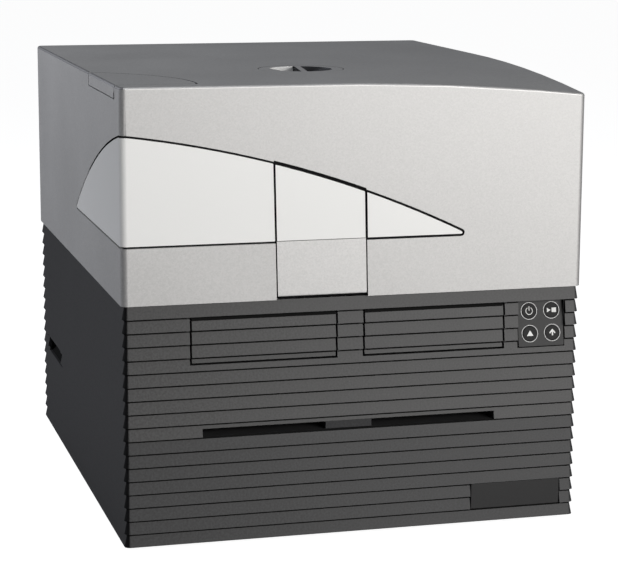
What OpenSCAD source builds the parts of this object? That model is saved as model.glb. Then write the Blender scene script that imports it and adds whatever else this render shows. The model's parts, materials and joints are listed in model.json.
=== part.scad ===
// Bench-top microplate reader: slatted dark base, light upper housing,
// two flap doors, a belt-driven plate tray, a filter drawer behind its own
// door, a cuvette port with a hinged lid and a round access port.
// Front is -Y, up is +Z, origin at the middle of the footprint on the bench.

/* [Housing] */
// Width over the side faces
body_w = 490; // [486:1:500]
// Depth from the front face to the rear face
body_d = 580; // [576:1:590]
// Height of the light upper housing
upper_h = 218.2; // [216:0.1:224]
// Height of the rubber feet
foot_h = 6; // [5:0.5:8]
// Wall thickness of the upper housing
wall = 3; // [2.8:0.1:3.2]
// Radius of the vertical corners
corner_r = 7; // [6.5:0.5:8]
// Radius along the top edges
edge_r = 3; // [2.5:0.5:3]
// How far the top falls away at the front right corner
corner_drop = 16; // [10:1:18]

/* [Slatted base] */
// Number of overlapping slats
slat_n = 18; // [18:1:18]
// Height of one slat
slat_pitch = 13.9; // [13.8:0.1:14]
// Step from one slat's lower lip back to the next
slat_step = 2.6; // [2:0.1:2.8]
// How far the slat lips stay inside the upper housing's faces
slat_inset = 1.2; // [0.8:0.1:1.4]
// Thickness of the base panels behind the deepest step
panel_back = 2.4; // [2.2:0.1:2.6]

/* [Plate doors] */
// Width of each door opening
door_w = 154.7; // [152:0.1:156]
// Middle of the left door opening
left_door_x = -97.9; // [-98.5:0.1:-97]
// Middle of the right door opening
right_door_x = 83.9; // [83:0.1:85]
// Height of the door openings
door_h = 49.7; // [49:0.1:50.5]
// Gap between a door and its opening
door_gap = 1.9; // [1.2:0.1:2.2]

/* [Keypad] */
// Middle of the keypad
keypad_x = 202.6; // [202:0.1:203]
// Width of the keypad plate
keypad_w = 50.4; // [50:0.1:51]
// Distance between button centres across
button_dx = 25.1; // [24.5:0.1:25.5]
// Distance between button centres up
button_dz = 23.9; // [23.5:0.1:24.2]
// Radius of a button cap
button_r = 7.9; // [7.5:0.1:8]
// Lean of the keypad, the same as that of the slats
keypad_tilt = 10.6; // [9:0.1:12]
// Travel of a button
button_travel = 1; // [0.8:0.1:1.2]

/* [Vent slots and plate] */
// Height of the two long slots
slot_h = 8.5; // [7:0.5:9]
// Width of the blank plate near the base
badge_w = 99.1; // [98:0.1:100]

/* [Fascia] */
// Height of the straight lower edge of the fascia above the bench
band_z = 316.5; // [314:0.5:318]
// Width of the dark groove round the fascia
groove = 2; // [1.2:0.1:2.4]
// Lean of the filter door's sides, as run over rise
seam_lean = 0.025; // [0:0.005:0.04]
// Left edge of the filter door
fdoor_x0 = -85.2; // [-87:0.1:-84]
// Right edge of the filter door
fdoor_x1 = 10.3; // [10:0.1:11]

/* [Plate transport] */
// Travel of the plate tray
tray_travel = 300; // [280:1:300]
// Width of a standard microplate's nest
nest_w = 128.4; // [128.2:0.1:128.6]
// Depth of a standard microplate's nest
nest_d = 86.1; // [85.9:0.1:86.3]
// Pitch radius of the belt pulleys
pulley_r = 8; // [8:1:8]
// Radius of the guide rods
rod_r = 4; // [4:1:4]

/* [Ports] */
// Radius of the round port cap
cap_r = 46; // [45:0.5:47]
// Middle of the port cap across
cap_x = -14; // [-15:0.5:-13]
// Middle of the port cap along the depth
cap_y = -112; // [-113:0.5:-111]

/* [Hidden] */
$fn = 64;
fit = 0.05;
hw = body_w / 2;
hd = body_d / 2;
base_top = foot_h + slat_n * slat_pitch;
total_h = base_top + upper_h;
slat_root = slat_inset + slat_step;
panel_in = slat_root + panel_back;

// The flat top gives way to a large horizontal cylinder towards the front
// right corner; the line where it starts runs obliquely over the top.
fall_a = 48.69;
fall_x = hw - 290;
fall_reach = (hw - fall_x) * sin(fall_a);
fall_r = (pow(fall_reach, 2) + pow(corner_drop, 2)) / (2 * corner_drop);
function fall_s(x, y) = max(0, (x - fall_x) * sin(fall_a) - (y + hd) * cos(fall_a));
function top_z(x, y) = total_h - fall_r + sqrt(pow(fall_r, 2) - pow(fall_s(x, y), 2));

// Height of the lap under slat k, counted from the top.
function lap(k) = base_top - k * slat_pitch;
// Behind each lap a small channel keeps the joint line dark.
slat_deep = slat_root + 1.2;
slat_reveal = 1.5;
function slat_top(k) = k == 1 ? [[slat_root, lap(0)]]
  : [[slat_deep, lap(k - 1)], [slat_deep, lap(k - 1) - slat_reveal], [slat_root, lap(k - 1) - slat_reveal]];
function slat_edge(a, b) = [for (k = [a : b]) each concat(slat_top(k), [[slat_inset, lap(k)]])];
function slat_wall(a, b) = concat(slat_edge(a, b), [[panel_in, lap(b)], [panel_in, lap(a - 1)]]);
function arc(c, r, a0, a1, n) = [for (i = [0 : n]) c + r * [cos(a0 + (a1 - a0) * i / n), sin(a0 + (a1 - a0) * i / n)]];

// Fascia arcs: one seen from the front in x and z, one from the side in y and z.
front_c = [-383, -690.4];
front_r = 1124.7;
side_c = [-416.2, -312.7];
side_r = 749.4;
tip_r = 1.8;
function arc_z(c, r, u) = c[1] + sqrt(r * r - pow(u - c[0], 2));
function arc_u(c, r, v) = c[0] + sqrt(r * r - pow(v - c[1], 2));
function arc_angle(c, p) = atan2(p[1] - c[1], p[0] - c[0]);
function tip_c(c, r) = [arc_u(c, r - tip_r, band_z + tip_r), band_z + tip_r];
function fascia_outline(c, r, u0, g) = let (
  t = tip_c(c, r), a1 = arc_angle(c, t), rg = r + g,
  a0 = acos((u0 - c[0]) / rg)
) concat(
  arc(c, rg, a0, a1, 20), arc(t, tip_r + g, a1, -90, 6), [[u0, band_z - g]]
);
corner_top = arc_z(front_c, front_r, -hw + corner_r);

// Rows along x extruded from a profile of depth and height.
module along_x(x0, x1) {
  translate([x0, 0, 0]) rotate([90, 0, 90]) linear_extrude(x1 - x0) children();
}
// Outlines of x and z given a depth range.
module along_y(y0, y1) {
  translate([0, y1, 0]) rotate([90, 0, 0]) linear_extrude(y1 - y0) children();
}
module box(x0, x1, y0, y1, z0, z1) {
  translate([x0, y0, z0]) cube([x1 - x0, y1 - y0, z1 - z0]);
}
module rod_x(x0, x1, y, z, r) {
  translate([x0, y, z]) rotate([0, 90, 0]) cylinder(h = x1 - x0, r = r);
}
module rod_y(x, y0, y1, z, r) {
  translate([x, y0, z]) rotate([-90, 0, 0]) cylinder(h = y1 - y0, r = r);
}
module rrect(w, d, r) {
  square([w - 2 * r, d], center = true);
  square([w, d - 2 * r], center = true);
  for (x = [-1, 1]) for (y = [-1, 1])
    translate([x * (w / 2 - r), y * (d / 2 - r)]) circle(r);
}
module mirror_x() {
  children();
  mirror([1, 0, 0]) children();
}

// ---- slatted base ------------------------------------------------------
module slat_corner(a, b) {
  rotate_extrude(angle = 90) polygon([for (p = slat_wall(a, b)) [corner_r - p[0], p[1]]]);
}
module front_slats(a, b) {
  along_x(-hw + corner_r, hw - corner_r) polygon([for (p = slat_wall(a, b)) [-hd + p[0], p[1]]]);
  translate([-hw + corner_r, -hd + corner_r, 0]) rotate([0, 0, 180]) slat_corner(a, b);
  translate([hw - corner_r, -hd + corner_r, 0]) rotate([0, 0, 270]) slat_corner(a, b);
}
door_z0 = lap(1) - door_h;
slot_z0 = lap(10);
slot_x = [[-162.7, -32.3], [17, 151.3]];
badge_x0 = 127.4;
rebate = 3;
module door_cut(x) {
  box(x - door_w / 2, x + door_w / 2, -hd - 1, -hd + 12, door_z0, lap(1));
  box(x - door_w / 2 - rebate, x + door_w / 2 + rebate, -hd + panel_in - 1.2, -hd + 12, door_z0 - rebate, lap(1) + rebate);
}
module front_panel_upper() color("#3b3c3f") difference() {
  front_slats(1, 10);
  door_cut(left_door_x);
  door_cut(right_door_x);
  box(keypad_x - keypad_w / 2 - 1.1, keypad_x + keypad_w / 2 + 1.1, -hd - 1, -hd + 12, door_z0 - 0.4, lap(1));
  box(slot_x[0][0], slot_x[1][1], -hd - 1, -hd + 12, slot_z0 - 1, slot_z0 + slot_h);
}
module front_panel_lower() color("#3b3c3f") difference() {
  front_slats(11, slat_n);
  box(badge_x0 - 0.6, badge_x0 + badge_w + 1.4, -hd - 1, -hd + slat_root + 0.6, lap(17), lap(15));
}
grip_y = [144, 247];
grip_z = [98.4, 118.5];
module side_panel() difference() {
  union() {
    mirror([1, 0, 0]) rotate([0, 0, 90]) along_x(-hd + corner_r, hd - corner_r) polygon([for (p = slat_wall(1, slat_n)) [-hw + p[0], p[1]]]);
    translate([-hw + corner_r, hd - corner_r, 0]) rotate([0, 0, 90]) slat_corner(1, slat_n);
  }
  box(-hw - 1, -hw + 12, grip_y[0], grip_y[1], grip_z[0], grip_z[1]);
}
module left_side_panel() color("#37383b") side_panel();
module right_side_panel() color("#37383b") mirror([1, 0, 0]) side_panel();

// Finger pockets behind the carry grips: a sloping floor runs up and inward.
module grip_pockets() color("#232427") mirror_x() {
  x0 = -hw + panel_in;
  rotate([90, 0, 0]) difference() {
    translate([0, 0, -grip_y[1] - 4]) linear_extrude(grip_y[1] - grip_y[0] + 8)
      polygon([[x0, grip_z[0] - 5], [x0, grip_z[1] + 8], [x0 + 10, grip_z[1] + 34], [x0 + 44, grip_z[1] + 34], [x0 + 44, grip_z[1] + 24]]);
    translate([0, 0, -grip_y[1]]) linear_extrude(grip_y[1] - grip_y[0])
      polygon([[x0 - 1, grip_z[0]], [x0 - 1, grip_z[1]], [x0 + 2, grip_z[1]], [x0 + 13, grip_z[1] + 31], [x0 + 41, grip_z[1] + 31], [x0 + 41, grip_z[1] + 25], [x0, grip_z[0]]]);
  }
}

// ---- bottom and rear ---------------------------------------------------
module base_pan() color("#6d6f72") difference() {
  union() {
    translate([0, 0, foot_h]) linear_extrude(2.5) rrect(body_w - 2 * panel_in, body_d - 2 * panel_in, 2);
    mirror_x() box(-hw + panel_in, -hw + panel_in + 2, -hd + 20, hd - 20, foot_h + 2, foot_h + 18);
  }
  for (x = [-1, 1]) for (y = [-1, 1])
    translate([x * foot_x, y * foot_y, foot_h - 1]) cylinder(h = 6, r = 2.6);
  for (i = [-3 : 3]) for (j = [0 : 5])
    box(i * 26 - 10, i * 26 + 10, 70 + j * 12, 75 + j * 12, foot_h - 1, foot_h + 5);
}
foot_x = hw - 38;
foot_y = hd - 38;
module feet() color("#1b1b1c") for (x = [-1, 1]) for (y = [-1, 1])
  translate([x * foot_x, y * foot_y, 0]) difference() {
    rotate_extrude() polygon([[0, 0], [14, 0], [15.5, 1.5], [17, foot_h], [0, foot_h]]);
    translate([0, 0, -1]) cylinder(h = 3.6, r = 6);
    cylinder(h = foot_h + 1, r = 2.6);
  }
module foot_screws() color("silver") for (x = [-1, 1]) for (y = [-1, 1])
  translate([x * foot_x, y * foot_y, 0]) {
    translate([0, 0, 2.6]) cylinder(h = foot_h + 7, r = 2.5);
    difference() {
      translate([0, 0, 0.6]) cylinder(h = 2, r = 4.6);
      translate([0, 0, 0.2]) cylinder(h = 1.4, r = 2, $fn = 6);
    }
  }
rear_y = hd - panel_in;
fan_c = [150, 200];
module rear_panel() color("#8d9094") difference() {
  box(-hw + corner_r, hw - corner_r, rear_y, rear_y + 2, foot_h, base_top);
  for (a = [0 : 45 : 315]) for (r = [9, 17, 25])
    translate([fan_c[0] + r * cos(a), 0, fan_c[1] + r * sin(a)]) rotate([90, 0, 0]) cylinder(h = 900, r = 2.6, center = true);
  box(-209, -161, 0, hd, 31, 59);
  for (i = [0 : 1]) box(-120 + i * 30, -104 + i * 30, 0, hd, 36, 48);
  for (i = [0 : 8]) box(-60 + i * 12, -54 + i * 12, 0, hd, 150, 200);
}
module panel_screws() color("silver") for (x = [-225, -75, 75, 225]) for (z = [20, 240])
  translate([x, rear_y + 2, z]) rotate([-90, 0, 0]) difference() {
    cylinder(h = 2, r = 3);
    translate([0, 0, 1]) cylinder(h = 2, r = 1.5, $fn = 6);
  }
module fan_frame() color("#2b2b2d") translate([fan_c[0], rear_y - 25, fan_c[1]]) rotate([-90, 0, 0]) {
  difference() {
    translate([0, 0, 12.5]) linear_extrude(25, center = true) rrect(60, 60, 4);
    translate([0, 0, -1]) cylinder(h = 27, r = 28.6);
    for (x = [-25, 25]) for (y = [-25, 25])
      translate([x, y, -1]) cylinder(h = 27, r = 2.2);
  }
  difference() {
    union() {
      translate([0, 0, 22]) cylinder(h = 3, r = 14);
      for (a = [45 : 90 : 315]) rotate([0, 0, a]) translate([10, -1.5, 22]) cube([21, 3, 3]);
    }
    translate([0, 0, 21]) cylinder(h = 3, r = 2 + fit);
  }
}
module fan_rotor() color("#1f1f20") translate([fan_c[0], rear_y - 25, fan_c[1]]) rotate([-90, 0, 0]) {
  translate([0, 0, 3]) cylinder(h = 17.5, r = 13);
  translate([0, 0, 20]) cylinder(h = 3.5, r = 2);
  for (a = [0 : 360 / 7 : 359]) rotate([0, 0, a]) translate([11, 0, 11]) rotate([35, 0, 0]) translate([0, -0.9, -8])
    cube([15.5, 1.8, 16]);
}
module power_inlet() color("#1a1a1b") {
  difference() {
    box(-208, -162, rear_y - 22, rear_y + 2, 32, 58);
    box(-204, -178, rear_y - 16, hd, 36, 54);
    box(-174, -166, rear_y - 2, hd, 38, 52);
  }
  difference() {
    box(-212, -158, rear_y + 2, rear_y + 4, 28, 62);
    box(-208, -162, rear_y - 2, hd, 32, 58);
  }
  for (p = [[-197, 42], [-185, 42], [-191, 48]])
    box(p[0] - 1, p[0] + 1, rear_y - 17, rear_y - 2, p[1] - 2, p[1] + 2);
}
module data_ports() color("#9a9da1") for (i = [0 : 1]) difference() {
  box(-120 + i * 30, -104 + i * 30, rear_y - 14, rear_y + 1.5, 36, 48);
  box(-118 + i * 30, -106 + i * 30, rear_y - 11, hd, 38, 46);
}

// ---- slots, blank plate, keypad -----------------------------------------
module slot_duct() color("#161617") {
  y0 = -hd + panel_in;
  difference() {
    box(slot_x[0][0] - 6, slot_x[1][1] + 6, y0, y0 + 26, slot_z0 - 5, slot_z0 + slot_h + 5);
    for (s = slot_x) box(s[0], s[1], y0 - 1, y0 + 27, slot_z0, slot_z0 + slot_h);
  }
  box(slot_x[0][1], slot_x[1][0], -hd + slat_root + 0.4, y0, slot_z0 + 0.4, slot_z0 + slot_h - 0.4);
}
module air_filter() color("#2a2a2b")
  box(slot_x[0][0] - 6, slot_x[1][1] + 6, -hd + panel_in + 26, -hd + panel_in + 32, slot_z0 - 5, slot_z0 + slot_h + 5);
module blank_plate() color("#26272a")
  along_y(-hd + slat_inset + 0.2, -hd + slat_root + 0.6) translate([badge_x0 + badge_w / 2, (lap(15) + lap(17)) / 2])
    rrect(badge_w, lap(15) - lap(17) - 0.8, 1);
// The keypad leans back as the slats do, so its top edge sits deep under the
// first lap and its bottom edge stands proud.
keypad_z0 = door_z0 + 0.8;
keypad_h = 48.6;
buttons = [[-1, 1], [1, 1], [-1, -1], [1, -1]];
function button_pos(i) = [0.1 + buttons[i][0] * button_dx / 2, 25.4 + buttons[i][1] * button_dz / 2];
module on_keypad() translate([keypad_x, -hd + slat_inset + 0.2, keypad_z0]) rotate([-keypad_tilt, 0, 0]) children();
module keypad_plate() color("#333437") difference() {
  union() {
    on_keypad() along_y(0, 8) translate([0, keypad_h / 2]) rrect(keypad_w, keypad_h, 1);
    difference() {
      union() {
        box(keypad_x - keypad_w / 2 - 5, keypad_x + keypad_w / 2 + 5, -hd + panel_in, -hd + panel_in + 1.5, keypad_z0 - 4, lap(1) + 4);
        box(keypad_x - keypad_w / 2 - 2.2, keypad_x + keypad_w / 2 + 2.2, -hd + panel_in, -hd + panel_in + 12, keypad_z0 - 2.5, lap(1) + 2);
      }
      on_keypad() box(-keypad_w / 2, keypad_w / 2, -30, 0.5, 1, keypad_h - 1);
      on_keypad() box(-keypad_w / 2, keypad_w / 2, -30, 0, 0, 60);
      on_keypad() box(-keypad_w / 2, keypad_w / 2, 7.5, 40, -10, 60);
    }
  }
  on_keypad() for (i = [0 : 3]) {
    rod_y(button_pos(i)[0], -1, 9, button_pos(i)[1], button_r + 0.35);
    rod_y(button_pos(i)[0], 3, 20, button_pos(i)[1], 9.6);
  }
}
module button_rings() color("#c9cbce") on_keypad() for (i = [0 : 3]) difference() {
  rod_y(button_pos(i)[0], -0.5, 0, button_pos(i)[1], 9.15);
  rod_y(button_pos(i)[0], -2, 1, button_pos(i)[1], 8.45);
}
module keypad_board() color("#1f5a3a") on_keypad() {
  box(-25, 25, 12, 13.6, -1, keypad_h + 1);
  for (x = [-1, 1]) for (z = [3, keypad_h - 3]) rod_y(x * 22, 8, 12, z, 2.2);
  for (i = [0 : 3]) rod_y(button_pos(i)[0], 10.1, 12, button_pos(i)[1], 2.5);
}
module button(i) on_keypad() {
  rod_y(button_pos(i)[0], -1, 5.2, button_pos(i)[1], button_r);
  rod_y(button_pos(i)[0], 3.3, 5.2, button_pos(i)[1], 9.2);
  rod_y(button_pos(i)[0], 5, 8.9, button_pos(i)[1], 2);
}
module power_button() color("#2c2d30") button(0);
module run_button() color("#2c2d30") button(1);
module eject_button() color("#2c2d30") button(2);
module up_button() color("#2c2d30") button(3);

// ---- chassis -----------------------------------------------------------
deck_z = 176;
plate_z = base_top - 6;
module chassis_posts() color("#a9acb0") for (x = [-225, 225]) for (y = [-250, 0, 268])
  difference() {
    box(x - 9, x + 9, y - 9, y + 9, foot_h + 2.5, plate_z);
    box(x - 7, x + 7, y - 7, y + 10, foot_h, plate_z + 1);
  }
module instrument_deck() color("#b4b7ba") difference() {
  box(-216, 216, -262, 262, deck_z, deck_z + 6);
  translate([left_door_x, -36, deck_z - 1]) cylinder(h = 9, r = 22);
  translate([left_door_x, drive_y, deck_z - 1]) cylinder(h = 9, r = 5);
  box(fan_c[0] - 62, fan_c[0] + 62, rear_y - 26, 263, deck_z - 1, deck_z + 7);
}
module optics_plate() color("#b4b7ba") difference() {
  translate([0, 0, plate_z]) linear_extrude(6) rrect(body_w - 2 * panel_in, body_d - 2 * panel_in, 2);
  translate([left_door_x, -36, plate_z - 1]) cylinder(h = 9, r = 22);
}

// ---- plate doors ---------------------------------------------------------
door_axis = [-hd + slat_root + 3, lap(1) - 4];
module door(x) {
  x0 = x - door_w / 2 + door_gap;
  x1 = x + door_w / 2 - door_gap;
  y_in = -hd + panel_in;
  difference() {
    union() {
      intersection() {
        along_x(x0, x1) polygon(concat([for (p = slat_edge(2, 5)) [-hd + p[0], p[1]]], [[y_in, lap(5)], [y_in, lap(1)]]));
        box(x0, x1, -hd - 1, y_in, door_z0 + door_gap, door_axis[1]);
      }
      rod_x(x0, x1, door_axis[0], door_axis[1], 3);
    }
    rod_x(x0 - 1, x0 + 12, door_axis[0], door_axis[1], 1 + fit);
    rod_x(x1 - 12, x1 + 1, door_axis[0], door_axis[1], 1 + fit);
  }
}
module left_door() color("#35363a") door(left_door_x);
module right_door() color("#35363a") door(right_door_x);
module door_rim(x, y1) difference() {
  box(x - door_w / 2 - rebate, x + door_w / 2 + rebate, -hd + panel_in - 1.2, y1, door_z0 - rebate, lap(1) + rebate);
  box(x - door_w / 2, x + door_w / 2, -hd, y1 + 1, door_z0, lap(1));
  rod_x(x - door_w / 2 - rebate - 1, x + door_w / 2 + rebate + 1, door_axis[0], door_axis[1], 1);
}
module left_door_frame() color("#1c1c1e") door_rim(left_door_x, -hd + 34);
module right_bay() color("#1c1c1e") {
  y1 = -hd + 150;
  door_rim(right_door_x, y1);
  box(right_door_x - door_w / 2 - rebate, right_door_x + door_w / 2 + rebate, y1, y1 + 3, door_z0 - rebate, lap(1) + rebate);
}
module hinge_pins() color("silver") {
  for (x = [left_door_x, right_door_x]) for (s = [-1, 1])
    rod_x(x + s * (door_w / 2 - 4) - 6.9, x + s * (door_w / 2 - 4) + 6.9, door_axis[0], door_axis[1], 1);
  for (x = [fdoor_x0 - 4.5, fdoor_x1 - 11]) rod_x(x, x + 15.5, axle[0], axle[1], 1);
}

// ---- plate transport -------------------------------------------------------
rod_dx = 42;
rod_z = 190;
tray_y = -79;
tray_z = 198;
drive_y = 120;
idler_y = -235;
carriage_y = [tray_y + 136, tray_y + 184];
module guide_rods() color("silver") for (s = [-1, 1])
  rod_y(left_door_x + s * rod_dx, -254, 138, rod_z, rod_r);
module rod_blocks() color("#8f9296") {
  for (s = [-1, 1]) for (y = [-254, 130]) difference() {
    box(left_door_x + s * rod_dx - 8, left_door_x + s * rod_dx + 8, y, y + 8, deck_z + 6, 196);
    rod_y(left_door_x + s * rod_dx, y - 1, y + 9, rod_z, rod_r);
  }
  translate([left_door_x, idler_y, deck_z + 6]) cylinder(h = 12.5, r = 2.5);
}
module plate_tray() color("#3a3b3e") translate([left_door_x, tray_y, tray_z]) {
  w = nest_w + 10;
  d = nest_d + 12;
  difference() {
    linear_extrude(8) translate([0, d / 2]) rrect(w, d, 5);
    translate([-nest_w / 2, 6, 3]) cube([nest_w, nest_d, 9]);
    translate([0, d / 2, -1]) linear_extrude(9) rrect(108, 72, 4);
    for (s = [-1, 1]) translate([s * w / 2, d / 2, -1]) cylinder(h = 12, r = 14);
  }
  difference() {
    translate([-40, d - 3, 0]) cube([80, carriage_y[1] - tray_y - d + 3, 4]);
    translate([-40 + 12, d + 8, -1]) cube([56, 22, 6]);
  }
}
module tray_carriage() color("#a3a6aa") translate([left_door_x, 0, 0]) difference() {
  box(-54, 54, carriage_y[0], carriage_y[1], rod_z - 6.5, tray_z);
  for (s = [-1, 1]) rod_y(s * rod_dx, carriage_y[0] - 1, carriage_y[1] + 1, rod_z, rod_r + fit);
  difference() {
    box(-13, 13, carriage_y[0] - 1, carriage_y[1] + 1, rod_z - 9, tray_z - 3);
    box(pulley_r + 1.15, 13, carriage_y[1] - 12, carriage_y[1], rod_z - 9, tray_z - 2);
  }
}
module tray_motor() color("#303133") difference() {
  box(left_door_x - 21, left_door_x + 21, drive_y - 21, drive_y + 21, deck_z - 42, deck_z);
  translate([left_door_x, drive_y, deck_z - 12]) cylinder(h = 20, r = 2.5 + fit);
}
module drive_pulley() color("#c0c3c6") translate([left_door_x, drive_y, 0]) {
  translate([0, 0, deck_z - 8]) cylinder(h = 24, r = 2.5);
  pulley();
}
module idler_pulley() color("#c0c3c6") translate([left_door_x, idler_y, 0]) difference() {
  pulley();
  cylinder(h = 300, r = 2.5 + fit);
}
module pulley() {
  translate([0, 0, deck_z + 8]) cylinder(h = 1, r = pulley_r + 1.5);
  translate([0, 0, deck_z + 8]) cylinder(h = 9, r = pulley_r - 0.6);
  translate([0, 0, deck_z + 16]) cylinder(h = 1, r = pulley_r + 1.5);
}
module drive_belt() color("#151515") translate([left_door_x, 0, deck_z + 9.5]) linear_extrude(6) difference() {
  belt_loop(pulley_r + 0.8);
  belt_loop(pulley_r - 0.3);
}
module belt_loop(r) {
  translate([0, drive_y]) circle(r);
  translate([0, idler_y]) circle(r);
  translate([-r, idler_y]) square([2 * r, drive_y - idler_y]);
}

// ---- modules inside ---------------------------------------------------------
module power_supply() color("#9fa2a5") difference() {
  box(60, 200, 90, 250, foot_h + 2.5, 78);
  for (i = [0 : 8]) box(59, 201, 104 + i * 16, 110 + i * 16, 24, 62);
}
module main_board() color("#1d6040") {
  box(40, 205, -190, 60, 30, 31.6);
  for (x = [46, 199]) for (y = [-184, 54]) translate([x, y, foot_h + 2.5]) cylinder(h = 30 - foot_h - 2.5, r = 3);
  for (i = [0 : 3]) box(60 + i * 34, 82 + i * 34, -40, -18, 31.6, 36);
  box(60, 120, -150, -110, 31.6, 48);
  box(140, 190, -170, -120, 31.6, 40);
  for (i = [0 : 5]) translate([60 + i * 18, 20, 31.6]) cylinder(h = 14, r = 5);
}
module imaging_module() color("#2e3033") translate([left_door_x, -36, 0]) {
  box(-45, 45, -45, 60, foot_h + 2.5, 78);
  box(-28, 28, -28, 28, 78, 120);
  translate([0, 0, 120]) cylinder(h = 20, r = 20);
  translate([0, 0, 140]) cylinder(h = 26, r = 15);
  translate([0, 0, 166]) cylinder(h = 8, r = 11);
}
module optics_tower() color("#34363a") translate([left_door_x, -36, 0]) {
  difference() {
    box(-36, 36, -28, 34, base_top, 306);
    translate([0, 0, base_top - 1]) cylinder(h = 40, r = 12);
  }
  rod_x(-60, -36, 0, 282, 12);
  rod_x(36, 91.8, 0, 282, 12);
}
module lamp_module() color("#babdc0") {
  difference() {
    box(-228, -158, -36, 60, base_top, 340);
    for (i = [0 : 6]) box(-229, -157, -24 + i * 12, -19 + i * 12, 276, 326);
  }
}
module detector_module() color("#44464a") {
  box(-6, 110, -90, 20, base_top, 330);
  box(20, 150, 40, 220, base_top, 350);
  rod_y(52, -130, -90, 296, 22);
}

// ---- upper housing -------------------------------------------------------
ball = edge_r / cos(11.25);
function rim_arc(cx, cy, a0) = arc([cx, cy], corner_r - edge_r, a0, a0 + 90, 4);
function rim() = concat(
  rim_arc(-hw + corner_r, -hd + corner_r, 180),
  [for (i = [1 : 9]) [-hw + corner_r + i * (body_w - 2 * corner_r) / 10, -hd + edge_r]],
  rim_arc(hw - corner_r, -hd + corner_r, 270),
  [for (i = [1 : 9]) [hw - edge_r, -hd + corner_r + i * (body_d - 2 * corner_r) / 10]],
  rim_arc(hw - corner_r, hd - corner_r, 0),
  rim_arc(-hw + corner_r, hd - corner_r, 90)
);
module upper_solid() hull() {
  translate([0, 0, base_top]) linear_extrude(1) rrect(body_w, body_d, corner_r, $fn = 32);
  for (p = rim()) translate([p[0], p[1], top_z(p[0], p[1]) - edge_r]) sphere(ball, $fn = 16);
}
module upper_void() hull() {
  translate([0, 0, base_top - 2]) linear_extrude(1) rrect(body_w - 2 * wall, body_d - 2 * wall, corner_r - wall, $fn = 16);
  for (p = rim()) {
    q = [p[0] * (hw - wall - 1.2) / (hw - edge_r), p[1] * (hd - wall - 1.2) / (hd - edge_r)];
    translate([q[0], q[1], top_z(q[0], q[1]) - wall - 2]) cylinder(h = 2, r = 1.2, $fn = 8);
  }
}
module front_fascia(x0, x1, g, y0, y1) intersection() {
  along_y(y0, y1) polygon(fascia_outline(front_c, front_r, -hw + corner_r, g));
  leaning(x0, x1, y0 - 1, y1 + 1, 250, total_h);
}
// A box whose sides lean with the filter door's seams.
function lean_x(x, z) = x - seam_lean * (z - base_top);
module leaning(x0, x1, y0, y1, z0, z1) along_y(y0, y1)
  polygon([[lean_x(x0, z0), z0], [lean_x(x1, z0), z0], [lean_x(x1, z1), z1], [lean_x(x0, z1), z1]]);
module side_fascia(g, x0, x1) translate([x0, 0, 0]) rotate([90, 0, 90]) linear_extrude(x1 - x0)
  polygon(fascia_outline(side_c, side_r, -hd + corner_r, g));
module corner_fascia(g, r0, r1) translate([-hw + corner_r, -hd + corner_r, 0]) rotate([0, 0, 180])
  rotate_extrude(angle = 90) translate([r0, band_z - g]) square([r1 - r0, corner_top - band_z + 2 * g]);
axle = [-hd + 4, base_top + 4.8];
lid_front = -263.5;
lid_c = [-320.6, -249];
well_y = -188.5;
lid_r = 160.4;
lid_a1 = asin((lid_front - lid_c[1]) / lid_r);
lid_a0 = acos((-hw - lid_c[0]) / lid_r);
lip_z = total_h - 13;
lip_y1 = lid_c[1] + lid_r * sin(lid_a0);
module lid_plan(g) polygon(concat([[-hw - 5, lid_front - g]], arc(lid_c, lid_r + g, lid_a1 - g * 0.3, acos((-hw - 5 - lid_c[0]) / (lid_r + g)), 14)));
module upper_housing() color("#b9bcc1") difference() {
  upper_solid();
  upper_void();
  front_fascia(-hw, 300, groove, -hd - 1, -hd + wall + 1);
  side_fascia(groove, -hw - 1, -hw + wall + 1);
  corner_fascia(groove, 1, corner_r + 2);
  front_fascia(fdoor_x0 - 0.3, fdoor_x1 + 0.3, groove + 1.3, -hd - 1, -hd + wall + 1);
  leaning(fdoor_x0 - 0.4, fdoor_x1 + 0.4, -hd - 1, -hd + wall + 1, base_top - 1, arc_z(front_c, front_r, fdoor_x1));
  box(fdoor_x0 - 6, fdoor_x1 + 6, -hd + wall - 1.2, -hd + wall + 1, base_top - 1, axle[1] + 5);
  translate([0, 0, total_h - wall - 1]) linear_extrude(9) lid_plan(0.7);
  box(-hw - 1, -hw + wall + 1, lid_front - 0.4, lip_y1 + 1.5, lip_z - 1.2, total_h + 1);
  translate([cap_x, cap_y, total_h - wall - 1]) cylinder(h = 9, r = cap_r + 0.7);
}
bay_x = [-80.5, 4.5];
bay_z = [318, 356];
module fascia_frame() color("#101011") difference() {
  union() {
    front_fascia(-hw, 300, 7, -hd + wall, -hd + wall + 3);
    side_fascia(7, -hw + wall, -hw + wall + 3);
    corner_fascia(7, corner_r - wall - 3, corner_r - wall - 0.7);
    box(fdoor_x0 - 8, fdoor_x1 + 8, -hd + wall, -hd + wall + 3, axle[1] - 4, band_z);
    for (x = [fdoor_x0 - 5, fdoor_x1 + 0.4]) box(x, x + 4.6, -hd + wall - 1.2, -hd + wall + 6, axle[1] - 4, axle[1] + 4);
  }
  leaning(fdoor_x0, fdoor_x1, -hd, -hd + wall + 1, base_top, arc_z(front_c, front_r, fdoor_x0) + 1);
  box(fdoor_x0, fdoor_x1, -hd, -hd + 12, base_top, axle[1] + 4.6);
  // Relief beside the corner, where the housing's inner radius runs out.
  box(-hw, -hw + wall + 0.3, -hd, -hd + corner_r + 1.5, base_top, total_h);
  box(-hw, -hw + corner_r + 1.5, -hd, -hd + wall + 0.3, base_top, total_h);
  box(bay_x[0], bay_x[1], -hd, 0, bay_z[0], bay_z[1]);
  rod_x(fdoor_x0 - 9, fdoor_x1 + 9, axle[0], axle[1], 1);
}
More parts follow.
